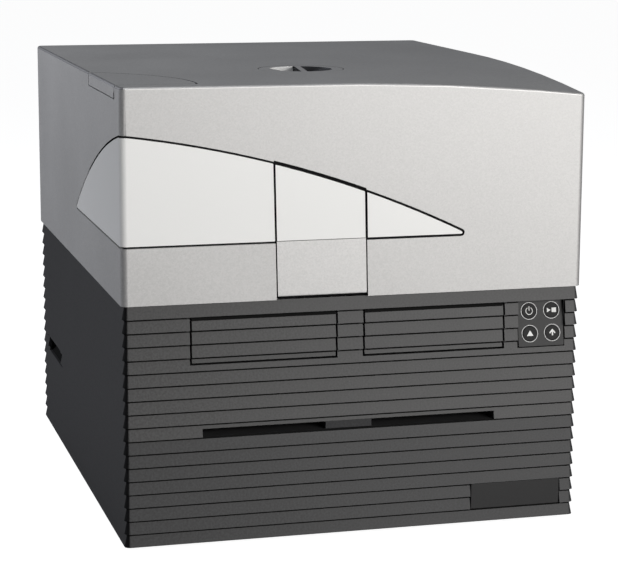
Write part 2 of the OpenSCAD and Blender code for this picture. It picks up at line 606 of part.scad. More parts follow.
module left_fascia() color("#eceef0") {
  front_fascia(-hw - 9, fdoor_x0 - 0.9, 0, -hd, -hd + wall);
  side_fascia(0, -hw, -hw + wall);
  corner_fascia(0, corner_r - wall, corner_r);
}
module right_fascia() color("#eceef0") front_fascia(fdoor_x1 + 0.9, 300, 0, -hd, -hd + wall);
module filter_door() color("#b9bcc1") difference() {
  union() {
    leaning(fdoor_x0 + 0.9, fdoor_x1 - 0.9, -hd, -hd + wall, axle[1], band_z - 0.3);
    rod_x(fdoor_x0 + 0.8, fdoor_x1 - 1.1, axle[0], axle[1], 4);
    for (x = [fdoor_x0 + 1.8, fdoor_x1 - 3.8]) leaning(x, x + 2, -hd + 1.6, -hd + wall + 0.6, axle[1], band_z + 30);
  }
  rod_x(fdoor_x0, fdoor_x0 + 13, axle[0], axle[1], 1 + fit);
  rod_x(fdoor_x1 - 13, fdoor_x1, axle[0], axle[1], 1 + fit);
  front_fascia(fdoor_x0, fdoor_x1, 0.3, -hd - 1, -hd + 1.6);
}
module filter_door_inlay() color("#eceef0") difference() {
  front_fascia(fdoor_x0 + 0.9, fdoor_x1 - 0.9, 0, -hd, -hd + wall);
  for (x = [fdoor_x0 + 1.8, fdoor_x1 - 3.8]) leaning(x, x + 2, -hd + 1.6, -hd + wall + 1, axle[1], band_z + 30);
}
module filter_bay() color("#1d1e20") {
  difference() {
    box(bay_x[0] - 3, bay_x[1] + 3, -hd + wall + 3, -136, base_top, bay_z[1] + 3);
    box(bay_x[0], bay_x[1], -hd, -139, bay_z[0], bay_z[1]);
    box(bay_x[0], bay_x[1], -hd, 0, base_top - 1, bay_z[0] - 3);
    box(fdoor_x0, fdoor_x1, -hd, axle[0] + 4.6, base_top - 1, axle[1] + 4.6);
  }
  for (x = [bay_x[0], bay_x[1] - 4]) box(x, x + 4, -hd + wall + 5, -150, 324, 331);
}
slide_x = [-57, -19];
module filter_carriage() color("#4a4c50") difference() {
  box(bay_x[0] + 0.5, bay_x[1] - 0.5, -278, -152, bay_z[0] + 1, 335);
  for (x = [bay_x[0] - 1, bay_x[1] - 4.3]) box(x, x + 5.3, -290, 0, 323.7, 331.3);
  for (x = slide_x) box(x - 15.4, x + 15.4, -270, -160, 322, 340);
  for (x = slide_x) for (i = [0 : 4]) translate([x, -254 + i * 20, 300]) cylinder(h = 60, r = 8);
}
module filter_slides() color("#c4c7ca") for (x = slide_x) difference() {
  box(x - 15, x + 15, -269.5, -160.5, 322, 333);
  for (i = [0 : 4]) translate([x, -254 + i * 20, 300]) cylinder(h = 60, r = 8);
  box(x - 6, x + 6, -271, -267, 326, 340);
}
module filter_glasses() color("#8f6fb0") for (x = slide_x) for (i = [0 : 4])
  translate([x, -254 + i * 20, 326]) cylinder(h = 4, r = 8);

// ---- ports in the top --------------------------------------------------------
lid_axis = [lid_front + 4.7, total_h - 4];
lug_x = [-236, -178];
module tub_plan(g, side) intersection() {
  lid_plan(g);
  translate([-hw + wall + side, -300]) square([200, 300]);
}
module cuvette_well() color("#202124") {
  difference() {
    union() {
      translate([0, 0, 442]) linear_extrude(total_h - wall - 442) tub_plan(2.5, 0.3);
      box(-214, -184, well_y - 21, well_y + 21, base_top, 460);
    }
    translate([0, 0, 445]) linear_extrude(40) difference() {
      tub_plan(-4, 3.3);
      translate([-214, well_y - 21]) square([30, 42]);
    }
    translate([0, 0, total_h - wall - 0.4]) linear_extrude(9) lid_plan(0.7);
    translate([0, 0, 460]) linear_extrude(40) tub_plan(-4, 3.3);
    box(-hw, -150, lid_axis[0] - 5, lid_axis[0] + 4.6, lid_axis[1] - 4.6, total_h);
    box(-hw, -hw + wall + 1.2, lid_front, lip_y1 + 3, lip_z - 3, total_h);
    translate([-199 - 6.3, well_y - 6.3, 414]) cube([12.6, 12.6, 60]);
  }
  for (x = lug_x) difference() {
    union() {
      rod_x(x, x + 4, lid_axis[0], lid_axis[1], 2.2);
      box(x, x + 4, lid_axis[0] - 1.2, lid_axis[0] + 1.2, 443, lid_axis[1]);
    }
    rod_x(x - 1, x + 5, lid_axis[0], lid_axis[1], 1.2);
  }
  rod_x(-239, -171, lid_axis[0], lid_axis[1], 1.2);
}
module cuvette_lid() color("#b9bcc1") difference() {
  intersection() {
    union() {
      intersection() {
        translate([0, 0, total_h - wall]) linear_extrude(wall + 1) lid_plan(-0.7);
        box(-hw - 1, 0, lid_axis[0], 0, 400, 500);
      }
      box(-hw - 1, -hw + wall, lid_axis[0], lip_y1 - 1, lip_z, total_h);
      rod_x(-hw - 1, -162.5, lid_axis[0], lid_axis[1], 3.98);
    }
    upper_solid();
  }
  for (x = lug_x) {
    rod_x(x - 0.6, x + 4.6, lid_axis[0], lid_axis[1], 2.7);
    box(x - 0.6, x + 4.6, lid_axis[0] - 5, lid_axis[0] + 5, lid_axis[1] - 6, lid_axis[1] + 1.4);
  }
  rod_x(-240, -170, lid_axis[0], lid_axis[1], 1.2 + fit);
}
module port_collar() color("#2b2c2f") translate([cap_x, cap_y, 0]) {
  difference() {
    translate([0, 0, total_h - 30]) cylinder(h = 30 - wall, r = cap_r + 5);
    translate([0, 0, total_h - 31]) cylinder(h = 40, r = cap_r - 6);
    translate([0, 0, total_h - 10]) cylinder(h = 40, r = cap_r + 0.5);
  }
}
module port_cap() color("#b9bcc1") translate([cap_x, cap_y, total_h]) difference() {
  union() {
    translate([0, 0, -9.7]) cylinder(h = 9.7, r = cap_r);
    translate([0, 0, -22]) cylinder(h = 13, r = cap_r - 6.4);
  }
  rotate([0, 0, -8]) mirror_x() intersection() {
    translate([0, 0, -14]) cylinder(h = 20, r = 34);
    translate([5.5, -40, -8]) rotate([0, -15, 0]) cube([60, 80, 30]);
  }
}

base_pan();
feet();
foot_screws();
front_panel_upper();
front_panel_lower();
left_side_panel();
right_side_panel();
grip_pockets();
rear_panel();
panel_screws();
fan_frame();
fan_rotor();
power_inlet();
data_ports();
slot_duct();
air_filter();
blank_plate();
keypad_plate();
button_rings();
keypad_board();
power_button();
run_button();
eject_button();
up_button();
chassis_posts();
instrument_deck();
optics_plate();
left_door_frame();
right_bay();
left_door();
right_door();
hinge_pins();
guide_rods();
rod_blocks();
plate_tray();
tray_carriage();
tray_motor();
drive_pulley();
idler_pulley();
drive_belt();
power_supply();
main_board();
imaging_module();
optics_tower();
lamp_module();
detector_module();
upper_housing();
fascia_frame();
left_fascia();
right_fascia();
filter_door();
filter_door_inlay();
filter_bay();
filter_carriage();
filter_slides();
filter_glasses();
cuvette_well();
cuvette_lid();
port_collar();
port_cap();
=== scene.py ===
# %% [markdown]
# # A bench-top microplate reader
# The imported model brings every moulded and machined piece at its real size.
# This script gives each piece its finish, rounds the edges that catch light,
# and adds the small repeated work: key marks, screws, belt teeth, the filter
# honeycomb and chip legs.

# %% Load the frame
import json
import math

import bmesh
import bpy
from mathutils import Matrix, Vector


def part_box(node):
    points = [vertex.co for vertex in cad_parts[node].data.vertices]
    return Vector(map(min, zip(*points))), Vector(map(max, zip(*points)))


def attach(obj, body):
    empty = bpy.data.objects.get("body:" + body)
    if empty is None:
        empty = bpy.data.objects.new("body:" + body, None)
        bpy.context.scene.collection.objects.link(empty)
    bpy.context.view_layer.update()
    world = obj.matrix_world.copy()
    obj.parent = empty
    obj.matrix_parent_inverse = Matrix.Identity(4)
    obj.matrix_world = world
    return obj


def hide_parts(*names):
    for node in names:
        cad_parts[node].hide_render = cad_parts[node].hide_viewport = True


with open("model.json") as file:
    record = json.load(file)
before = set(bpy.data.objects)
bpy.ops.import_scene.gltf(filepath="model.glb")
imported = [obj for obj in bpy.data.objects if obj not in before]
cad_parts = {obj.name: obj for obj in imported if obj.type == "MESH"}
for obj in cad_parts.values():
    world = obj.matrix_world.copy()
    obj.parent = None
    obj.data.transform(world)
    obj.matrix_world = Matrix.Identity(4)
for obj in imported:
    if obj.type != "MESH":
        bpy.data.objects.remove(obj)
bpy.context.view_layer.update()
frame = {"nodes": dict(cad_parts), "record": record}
NODES = frame["nodes"]
RECORD = frame["record"]
SLOT_OF = {s["node"]: s["material_slot"] for s in RECORD["subparts"]}
BODY_OF = {n: b for b, names in RECORD["behaviour"]["bodies"].items() for n in names}
MM = 0.001
print("pieces in the frame:", len(NODES))

# %% [markdown]
# The camera stands about 2.4 m from the middle of the reader, to the left of
# its front and a little above the top. Its long lens keeps the upright edges
# nearly parallel.

# %% Camera
scene = bpy.context.scene
scene.view_settings.view_transform = "Standard"
EYE = Vector((-0.5981, -2.2999, 0.6624))
YAW, PITCH, ROLL = 0.2653, 0.1899, 0.0045
LENS = 121.53
FARTHEST = 60

forward = Vector((
    math.sin(YAW) * math.cos(PITCH), math.cos(YAW) * math.cos(PITCH), -math.sin(PITCH)))
level = Vector((math.cos(YAW), -math.sin(YAW), 0))
lift = level.cross(forward)
right = level * math.cos(ROLL) + lift * math.sin(ROLL)
up = lift * math.cos(ROLL) - level * math.sin(ROLL)
camera = bpy.data.objects.new("camera", bpy.data.cameras.new("camera"))
camera.data.lens = LENS
camera.data.clip_end = FARTHEST
turn = Matrix((right, up, -forward)).transposed().to_4x4()
camera.matrix_world = Matrix.Translation(EYE) @ turn
scene.collection.objects.link(camera)
scene.camera = camera
print("camera lens in mm:", LENS)

# %% [markdown]
# A pale sweep under soft light. The main light is a wide panel in front and
# to the right, low enough to leave the top in half shade. A weak panel
# overhead lifts the top, and another behind on the left keeps the side
# readable. The floor and sky look white to the camera alone, so they add
# little light of their own to the reader.

# %% Floor, sky and lights
FLOOR_GREY, FLOOR_GLOW = 0.35, 0.94
ROOM_STRENGTH = 0.10


def socket(node, name, value):
    node.inputs[name].default_value = value


floor_mesh = bpy.data.meshes.new("floor")
HALF = 30
corners = [(-HALF, -HALF, 0), (HALF, -HALF, 0), (HALF, HALF, 0), (-HALF, HALF, 0)]
floor_mesh.from_pydata(corners, [], [(0, 1, 2, 3)])
floor = bpy.data.objects.new("floor", floor_mesh)
scene.collection.objects.link(floor)
floor_finish = bpy.data.materials.new("pale_floor")
floor_finish.use_nodes = True
shader = floor_finish.node_tree.nodes["Principled BSDF"]
socket(shader, "Base Color", (FLOOR_GREY, FLOOR_GREY, FLOOR_GREY, 1))
socket(shader, "Roughness", 0.9)
socket(shader, "Specular IOR Level", 0.0)
socket(shader, "Emission Color", (1, 1, 1, 1))
first_ray = floor_finish.node_tree.nodes.new("ShaderNodeLightPath")
glow = floor_finish.node_tree.nodes.new("ShaderNodeMath")
glow.operation = "MULTIPLY"
glow.inputs[1].default_value = FLOOR_GLOW
floor_finish.node_tree.links.new(first_ray.outputs["Is Camera Ray"], glow.inputs[0])
floor_finish.node_tree.links.new(glow.outputs[0], shader.inputs["Emission Strength"])
floor_mesh.materials.append(floor_finish)

world = bpy.data.worlds.new("studio")
scene.world = world
world.use_nodes = True
sky = world.node_tree
sky_out = sky.nodes["World Output"]
room = sky.nodes["Background"]
socket(room, "Color", (0.88, 0.92, 1.0, 1))
socket(room, "Strength", ROOM_STRENGTH)
paper = sky.nodes.new("ShaderNodeBackground")
socket(paper, "Color", (1, 1, 1, 1))
socket(paper, "Strength", 1.0)
seen = sky.nodes.new("ShaderNodeLightPath")
either = sky.nodes.new("ShaderNodeMixShader")
sky.links.new(seen.outputs["Is Camera Ray"], either.inputs[0])
sky.links.new(room.outputs[0], either.inputs[1])
sky.links.new(paper.outputs[0], either.inputs[2])
sky.links.new(either.outputs[0], sky_out.inputs["Surface"])


def panel_light(name, place, aim, size, watts, tint):
    data = bpy.data.lights.new(name, "AREA")
    data.shape = "RECTANGLE"
    data.size, data.size_y = size
    data.energy = watts
    data.color = tint
    lamp = bpy.data.objects.new(name, data)
    lamp.location = place
    lamp.rotation_euler = (Vector(aim) - Vector(place)).to_track_quat("-Z", "Y").to_euler()
    scene.collection.objects.link(lamp)


MIDDLE = (0, 0, 0.25)
LIGHTS = {
    "front_panel": ((1.45, -3.05, 0.85), (2.4, 1.4), 98, (1.0, 0.985, 0.965)),
    "overhead_panel": ((-0.3, -1.0, 2.6), (1.5, 0.9), 14, (0.94, 0.965, 1.0)),
    "left_panel": ((-1.65, 1.0, 1.25), (1.0, 0.8), 24, (0.93, 0.945, 1.0)),
}
for name, (place, size, watts, tint) in LIGHTS.items():
    panel_light(name, place, MIDDLE, size, watts, tint)
print("lights:", ", ".join(LIGHTS))

# %% [markdown]
# Surface effects that several finishes share are node groups: a moulded
# grain, the flecks of a metallic paint, a slow drift in tone, and a painted
# shade: a near-black line just under each slat's lap, where shadow falls.
# They read Object coordinates, which are metres here because every mesh keeps
# its place in its own data.

# %% Shared node groups
def new_group(name, inputs, outputs):
    tree = bpy.data.node_groups.new(name, "ShaderNodeTree")
    for label, value in inputs:
        made = tree.interface.new_socket(label, in_out="INPUT", socket_type="NodeSocketFloat")
        made.default_value = value
    for label, kind in outputs:
        tree.interface.new_socket(label, in_out="OUTPUT", socket_type=kind)
    return tree, tree.nodes.new("NodeGroupInput"), tree.nodes.new("NodeGroupOutput")


def feed(tree, value, entry):
    """Give a node's input a number, or link another node's output to it."""
    if isinstance(value, (int, float)):
        entry.default_value = value
    else:
        tree.links.new(value, entry)


def noise(tree, scale_from, detail, rough, coords):
    node = tree.nodes.new("ShaderNodeTexNoise")
    socket(node, "Detail", detail)
    socket(node, "Roughness", rough)
    tree.links.new(coords, node.inputs["Vector"])
    feed(tree, scale_from, node.inputs["Scale"])
    return node.outputs[0]


def spread(tree, value, low, high, to_low, to_high):
    node = tree.nodes.new("ShaderNodeMapRange")
    ends = {"From Min": low, "From Max": high, "To Min": to_low, "To Max": to_high}
    for name, end in ends.items():
        socket(node, name, end)
    tree.links.new(value, node.inputs["Value"])
    return node.outputs["Result"]


def math_node(tree, kind, a, b):
    node = tree.nodes.new("ShaderNodeMath")
    node.operation = kind
    for i, end in enumerate((a, b)):
        feed(tree, end, node.inputs[i])
    return node.outputs[0]


def weighed(tree, a, share_a, b, share_b):
    return math_node(tree, "ADD", math_node(tree, "MULTIPLY", a, share_a),
                     math_node(tree, "MULTIPLY", b, share_b))


GRAIN, g_in, g_out = new_group(
    "moulded_grain", [("Scale", 700), ("Fine", 2200)],
    [("Height", "NodeSocketFloat"), ("Mask", "NodeSocketFloat")])
where = GRAIN.nodes.new("ShaderNodeTexCoord").outputs["Object"]
coarse = noise(GRAIN, g_in.outputs["Scale"], 2, 0.5, where)
fine = noise(GRAIN, g_in.outputs["Fine"], 1, 0.5, where)
GRAIN.links.new(weighed(GRAIN, coarse, 0.7, fine, 0.3), g_out.inputs["Height"])
GRAIN.links.new(spread(GRAIN, coarse, 0.35, 0.65, 0.0, 1.0), g_out.inputs["Mask"])

FLECK, f_in, f_out = new_group(
    "paint_flecks", [("Scale", 520), ("Peel", 160)],
    [("Mask", "NodeSocketFloat"), ("Height", "NodeSocketFloat")])
where = FLECK.nodes.new("ShaderNodeTexCoord").outputs["Object"]
cells = FLECK.nodes.new("ShaderNodeTexVoronoi")
FLECK.links.new(where, cells.inputs["Vector"])
FLECK.links.new(f_in.outputs["Scale"], cells.inputs["Scale"])
flake = FLECK.nodes.new("ShaderNodeSeparateColor")
FLECK.links.new(cells.outputs["Color"], flake.inputs[0])
cloud = noise(FLECK, 240, 2, 0.6, where)
FLECK.links.new(weighed(FLECK, flake.outputs[0], 0.55, cloud, 0.45), f_out.inputs["Mask"])
FLECK.links.new(noise(FLECK, f_in.outputs["Peel"], 2, 0.5, where), f_out.inputs["Height"])

DRIFT, d_in, d_out = new_group("tone_drift", [("Scale", 9)], [("Mask", "NodeSocketFloat")])
where = DRIFT.nodes.new("ShaderNodeTexCoord").outputs["Object"]
slow = noise(DRIFT, d_in.outputs["Scale"], 3, 0.55, where)
DRIFT.links.new(spread(DRIFT, slow, 0.3, 0.7, 0.0, 1.0), d_out.inputs["Mask"])

# Painted shade: a mask for the band just under each lap, where the real shadow falls.
LAP, l_in, l_out = new_group(
    "lap_shade", [("Top", 0.2562), ("Pitch", 0.0139), ("Band", 0.0016)],
    [("Mask", "NodeSocketFloat")])
where = LAP.nodes.new("ShaderNodeTexCoord").outputs["Object"]
split = LAP.nodes.new("ShaderNodeSeparateXYZ")
LAP.links.new(where, split.inputs[0])
drop = math_node(LAP, "SUBTRACT", l_in.outputs["Top"], split.outputs["Z"])
below = math_node(LAP, "MODULO", drop, l_in.outputs["Pitch"])
in_band = math_node(LAP, "LESS_THAN", below, l_in.outputs["Band"])
nearly_one = math_node(LAP, "MULTIPLY", l_in.outputs["Pitch"], 0.9)
past_first = math_node(LAP, "GREATER_THAN", drop, nearly_one)
LAP.links.new(math_node(LAP, "MULTIPLY", in_band, past_first), l_out.inputs["Mask"])
print("shared effects:", ", ".join(group.name for group in (GRAIN, FLECK, DRIFT, LAP)))

# %% [markdown]
# One helper writes a finish: a colour that varies a little through a mask,
# a roughness that varies with the same mask, and a bump of a stated real
# height in millimetres. Constant values sit on the shader's own sockets.

# %% Finish helper
def place_group(tree, group, **values):
    node = tree.nodes.new("ShaderNodeGroup")
    node.node_tree = group
    for name, value in values.items():
        node.inputs[name].default_value = value
    return node


MIX_A, MIX_B, MIX_RESULT = 6, 7, 2


def blend_colour(tree, mask, a, b):
    """Mix two colours, each a tuple or another node's output."""
    node = tree.nodes.new("ShaderNodeMix")
    node.data_type = "RGBA"
    for index, colour in ((MIX_A, a), (MIX_B, b)):
        if isinstance(colour, tuple):
            node.inputs[index].default_value = (*colour, 1)
        else:
            tree.links.new(colour, node.inputs[index])
    tree.links.new(mask, node.inputs[0])
    return node.outputs[MIX_RESULT]


FINE_PER_COARSE = 3.1
EFFECT_SHARE, DRIFT_SHARE = 0.8, 0.2
GLOSS_LOW, GLOSS_HIGH = 0.92, 1.08
LAP_SHADE_COLOUR = (0.002, 0.002, 0.002)
BUMP_STRENGTH = 0.5


def finish(name, colour, rough, metal=0.0, vary=0.12, kind="grain", scale=700, bump=0.03,
           laps=(), **sockets):
    made = bpy.data.materials.new(name)
    made.use_nodes = True
    tree = made.node_tree
    shader = tree.nodes["Principled BSDF"]
    socket(shader, "Metallic", metal)
    for label, value in sockets.items():
        socket(shader, label.replace("_", " "), value)
    if kind == "grain":
        effect = place_group(tree, GRAIN, Scale=scale, Fine=scale * FINE_PER_COARSE)
    else:
        effect = place_group(tree, FLECK, Scale=scale)
    drift = place_group(tree, DRIFT)
    mask = weighed(tree, effect.outputs["Mask"], EFFECT_SHARE, drift.outputs["Mask"], DRIFT_SHARE)
    dark = tuple(c * (1 - vary) for c in colour)
    pale = tuple(min(1, c * (1 + vary)) for c in colour)
    base = blend_colour(tree, mask, dark, pale)
    gloss = spread(tree, mask, 0, 1, rough * GLOSS_LOW, min(1, rough * GLOSS_HIGH))
    # Each band of painted shade turns the colour near-black and the roughness to full.
    for top, pitch, band in laps:
        shade = place_group(tree, LAP, Top=top, Pitch=pitch, Band=band).outputs["Mask"]
        base = blend_colour(tree, shade, base, LAP_SHADE_COLOUR)
        gloss = math_node(tree, "MAXIMUM", gloss, shade)
    tree.links.new(base, shader.inputs["Base Color"])
    tree.links.new(gloss, shader.inputs["Roughness"])
    dent = tree.nodes.new("ShaderNodeBump")
    socket(dent, "Strength", BUMP_STRENGTH)
    socket(dent, "Distance", bump * MM)
    tree.links.new(effect.outputs["Height"], dent.inputs["Height"])
    tree.links.new(dent.outputs[0], shader.inputs["Normal"])
    return made


# %% [markdown]
# The finishes follow the real product: a grained dark plastic for the base,
# a metallic paint with fine flecks for the hood, satin white for the fascia,
# and plain industrial metals and plastics inside. Some finishes are lighter or
# darker copies of these that paint light and shade onto the pieces.

# %% Finishes
# Height of the first lap, distance between laps and width of the painted
# shade line, in metres. The second is a wider band of painted shade across the
# head of each flap door.
SLAT_LAP_SHADE = (0.2562, 0.0139, 0.0020)
DOOR_HEAD_SHADE = (0.3118, 0.0695, 0.0042)
SLATTED = dict(vary=0.35, scale=420, bump=0.16)
METALLIC = dict(metal=0.82, kind="fleck")
FILM = dict(vary=0.1, scale=1100, bump=0.02, Specular_IOR_Level=0.3)
FINISH_SETTINGS = {
    "dark_plastic": dict(colour=(0.0318, 0.0316, 0.0322), rough=0.46,
        laps=[SLAT_LAP_SHADE], Specular_IOR_Level=0.3, **SLATTED),
    "door_plastic": dict(colour=(0.0318, 0.0316, 0.0322), rough=0.46,
        laps=[SLAT_LAP_SHADE, DOOR_HEAD_SHADE], Specular_IOR_Level=0.3, **SLATTED),
    # Painted shade: a darker copy of the slat plastic for the lower front panel.
    "lower_plastic_painted_shade": dict(colour=(0.0247, 0.0249, 0.0262), rough=0.48,
        laps=[SLAT_LAP_SHADE], Specular_IOR_Level=0.28, **SLATTED),
    # Painted shade: a darker copy of the slat plastic for the side panels, also laid on the
    # recessed bridge between the slots.
    "side_plastic": dict(colour=(0.021, 0.021, 0.0225), rough=0.55,
        vary=0.3, scale=420, bump=0.14, laps=[SLAT_LAP_SHADE], Specular_IOR_Level=0.3),
    "silver_paint": dict(colour=(0.465, 0.462, 0.458), rough=0.60,
        vary=0.16, bump=0.04, **METALLIC),
    # Painted light: a lighter copy of the silver paint for the filter door.
    "silver_door_painted_light": dict(colour=(0.51, 0.507, 0.503), rough=0.60, vary=0.16, bump=0.04, **METALLIC),
    # Painted highlight: a lighter copy of the silver paint for the hood's front top rounding.
    "silver_painted_highlight": dict(colour=(0.57, 0.567, 0.56), rough=0.55, vary=0.08, bump=0.02, **METALLIC),
    # Painted shade: a darker copy of the silver paint that dims the light on the left top roundings
    # of hood and lid.
    "silver_painted_shade": dict(colour=(0.20, 0.20, 0.205), rough=0.62,
        metal=0.8, vary=0.12, kind="fleck", bump=0.03),
    "white_fascia": dict(colour=(0.755, 0.755, 0.742), rough=0.38,
        vary=0.01, scale=900, bump=0.008),
    "black_plastic": dict(colour=(0.008, 0.008, 0.009), rough=0.5, vary=0.2, scale=700, bump=0.03),
    "keypad_film": dict(colour=(0.0185, 0.0185, 0.0190), rough=0.55, **FILM),
    "plate_film": dict(colour=(0.0185, 0.0185, 0.0190), rough=0.52, **FILM),
    "ring_silver": dict(colour=(0.33, 0.33, 0.33), rough=0.4,
        metal=0.2, vary=0.04, scale=2500, bump=0.004),
    "key_mark": dict(colour=(0.66, 0.66, 0.65), rough=0.5, vary=0.02, scale=2000, bump=0.002),
    "button_cap": dict(colour=(0.010, 0.010, 0.0105), rough=0.5,
        vary=0.1, scale=1300, bump=0.006, Specular_IOR_Level=0.12),
    "duct_plastic": dict(colour=(0.034, 0.034, 0.035), rough=0.6,
        vary=0.2, scale=600, bump=0.03, Specular_IOR_Level=0.25),
    # Painted shade: near-black for the walls of joints and openings, where the real gap is in
    # shadow.
    "painted_joint_shade": dict(colour=(0.0035, 0.0035, 0.004), rough=0.7,
        vary=0.1, scale=700, bump=0.01, Specular_IOR_Level=0.12),
    # The filter foam's own black, made deep enough to stand as painted shade inside the slot, and
    # laid as painted shade in the grip pockets.
    "black_foam_and_shade": dict(colour=(0.0022, 0.0022, 0.0022), rough=0.9,
        vary=0.2, scale=380, bump=0.2, Specular_IOR_Level=0.1),
    "recess_shade": dict(colour=(0.05, 0.051, 0.055), rough=0.6,
        metal=0.5, vary=0.1, kind="fleck", bump=0.02, Specular_IOR_Level=0.3),
    "rubber": dict(colour=(0.018, 0.018, 0.018), rough=0.8, vary=0.2, scale=900, bump=0.05),
    "steel": dict(colour=(0.60, 0.61, 0.62), rough=0.28,
        metal=1.0, vary=0.06, scale=1600, bump=0.006),
    "sheet_metal": dict(colour=(0.52, 0.53, 0.53), rough=0.42,
        metal=1.0, vary=0.12, scale=260, bump=0.01),
    "cast_deck": dict(colour=(0.62, 0.63, 0.64), rough=0.36,
        metal=1.0, vary=0.06, scale=900, bump=0.012),
    "board_green": dict(colour=(0.015, 0.13, 0.06), rough=0.35, vary=0.15, scale=300, bump=0.02),
    "module_black": dict(colour=(0.03, 0.03, 0.032), rough=0.38,
        metal=0.5, vary=0.15, scale=1200, bump=0.015),
    "filter_glass": dict(colour=(0.30, 0.16, 0.55), rough=0.06,
        vary=0.05, scale=50, bump=0.001, Transmission_Weight=0.7, IOR=1.5),
    "belt": dict(colour=(0.014, 0.014, 0.014), rough=0.7, vary=0.15, scale=900, bump=0.03),
    "grey_plate": dict(colour=(0.34, 0.345, 0.35), rough=0.55, vary=0.05, scale=650, bump=0.05),
}
FINISH = {name: finish(name, **settings) for name, settings in FINISH_SETTINGS.items()}
FINISH_OF = {
    "left_door": "door_plastic", "right_door": "door_plastic",
    "front_panel_lower": "lower_plastic_painted_shade", "slot_duct": "duct_plastic",
    # The grip pockets take the foam's black as painted shade.
    "air_filter": "black_foam_and_shade", "grip_pockets": "black_foam_and_shade",
    # The fascia frame, seen deep in the joint, takes the near-black painted shade.
    "fascia_frame": "painted_joint_shade", "blank_plate": "plate_film",
    "hinge_pins": "module_black", "filter_door": "silver_door_painted_light",
}
for name, node in NODES.items():
    node.data.materials.clear()
    node.data.materials.append(FINISH[FINISH_OF.get(name, SLOT_OF[name])])
print("finishes:", len(FINISH))

# %% [markdown]
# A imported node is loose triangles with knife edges. A dressed copy of it is
# merged, its flat faces are joined, and a Bevel rounds the edges the way a
# mould or a paint coat does. The copy stands for the node, and rides on the
# node's own body.

# %% Dressing helper
MERGE_WITHIN = 0.00002
FLAT_WITHIN, BEVEL_FROM, SHARP_FROM = math.radians(0.6), math.radians(28), math.radians(46)
BEVEL_STEPS = 2


def finished(obj, body):
    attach(obj, body)


def plain_copy(obj):
    """The evaluated shape of an object as a mesh of its own."""
    view = bpy.context.evaluated_depsgraph_get()
    return bpy.data.meshes.new_from_object(obj.evaluated_get(view))


def add_object(name, data):
    obj = bpy.data.objects.new(name, data)
    scene.collection.objects.link(obj)
    return obj


def dressed(name, width):
    data = NODES[name].data.copy()
    mesh = bmesh.new()
    mesh.from_mesh(data)
    bmesh.ops.remove_doubles(mesh, verts=mesh.verts, dist=MERGE_WITHIN)
    bmesh.ops.dissolve_limit(mesh, angle_limit=FLAT_WITHIN, verts=mesh.verts, edges=mesh.edges)
    mesh.to_mesh(data)
    mesh.free()
    raw = add_object(name + "_raw", data)
    bevel = raw.modifiers.new("edge", "BEVEL")
    bevel.width = width * MM
    bevel.segments = BEVEL_STEPS
    bevel.limit_method = "ANGLE"
    bevel.angle_limit = BEVEL_FROM
    bevel.use_clamp_overlap = True
    data = plain_copy(raw)
    bpy.data.objects.remove(raw)
    mesh = bmesh.new()
    mesh.from_mesh(data)
    for edge in mesh.edges:
        edge.smooth = len(edge.link_faces) == 2 and edge.calc_face_angle(math.pi) < SHARP_FROM
    for face in mesh.faces:
        face.smooth = True
    mesh.to_mesh(data)
    mesh.free()
    piece = add_object(name + "_dressed", data)
    shade = piece.modifiers.new("shade", "WEIGHTED_NORMAL")
    shade.keep_sharp = True
    shade.weight = 100
    finished(piece, BODY_OF[name])
    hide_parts(name)


# %% [markdown]
# A mould leaves a small radius on each outer edge. So each piece that can be
# seen, at rest or in a pose, gets a bevel width of its own in millimetres:
# the filter door has the softest edge, the thin button rings the finest.

# %% Dressed pieces
EDGE_WIDTH = {
    "upper_housing": 0.4, "left_fascia": 0.4, "right_fascia": 0.4, "filter_door": 0.9,
    "filter_door_inlay": 0.35, "front_panel_upper": 0.3, "front_panel_lower": 0.3,
    "left_side_panel": 0.3, "right_side_panel": 0.3, "left_door": 0.3, "right_door": 0.3,
    "blank_plate": 0.25, "keypad_plate": 0.25, "button_rings": 0.1, "cuvette_lid": 0.3,
    "port_cap": 0.4, "power_button": 0.35, "run_button": 0.35, "eject_button": 0.35,
    "up_button": 0.35, "plate_tray": 0.5, "tray_carriage": 0.4, "filter_carriage": 0.4,
    "filter_slides": 0.4, "rear_panel": 0.25, "fan_frame": 0.4, "power_inlet": 0.4,
    "data_ports": 0.25, "cuvette_well": 0.3, "left_door_frame": 0.3, "right_bay": 0.3,
    "filter_bay": 0.3, "base_pan": 0.3, "slot_duct": 0.3,
}
for name, width in EDGE_WIDTH.items():
    dressed(name, width)
print("dressed pieces:", len(EDGE_WIDTH))

# %% [markdown]
# The walls of a narrow joint get almost no light on the real reader, so the
# faces inside the joints round the fascia, the filter door, the lid and the
# round cap, the rounded lips beside them, the walls round the keypad and the
# blank plate, the front panels' left corner, the ledge under the hood and the
# front of the left side panel get a near-black painted shade. A few faces get
# other painted light or shade: a painted highlight on the hood's front top
# rounding, painted shade on its left top rounding and the lid's, a painted
# highlight in pale plastic on the lit wall of the cap's left pocket, painted
# shade in its right pocket, and the darker side-panel plastic as painted shade
# on the recessed bridge between the slots. A face is picked by where it lies
# and which way it points.

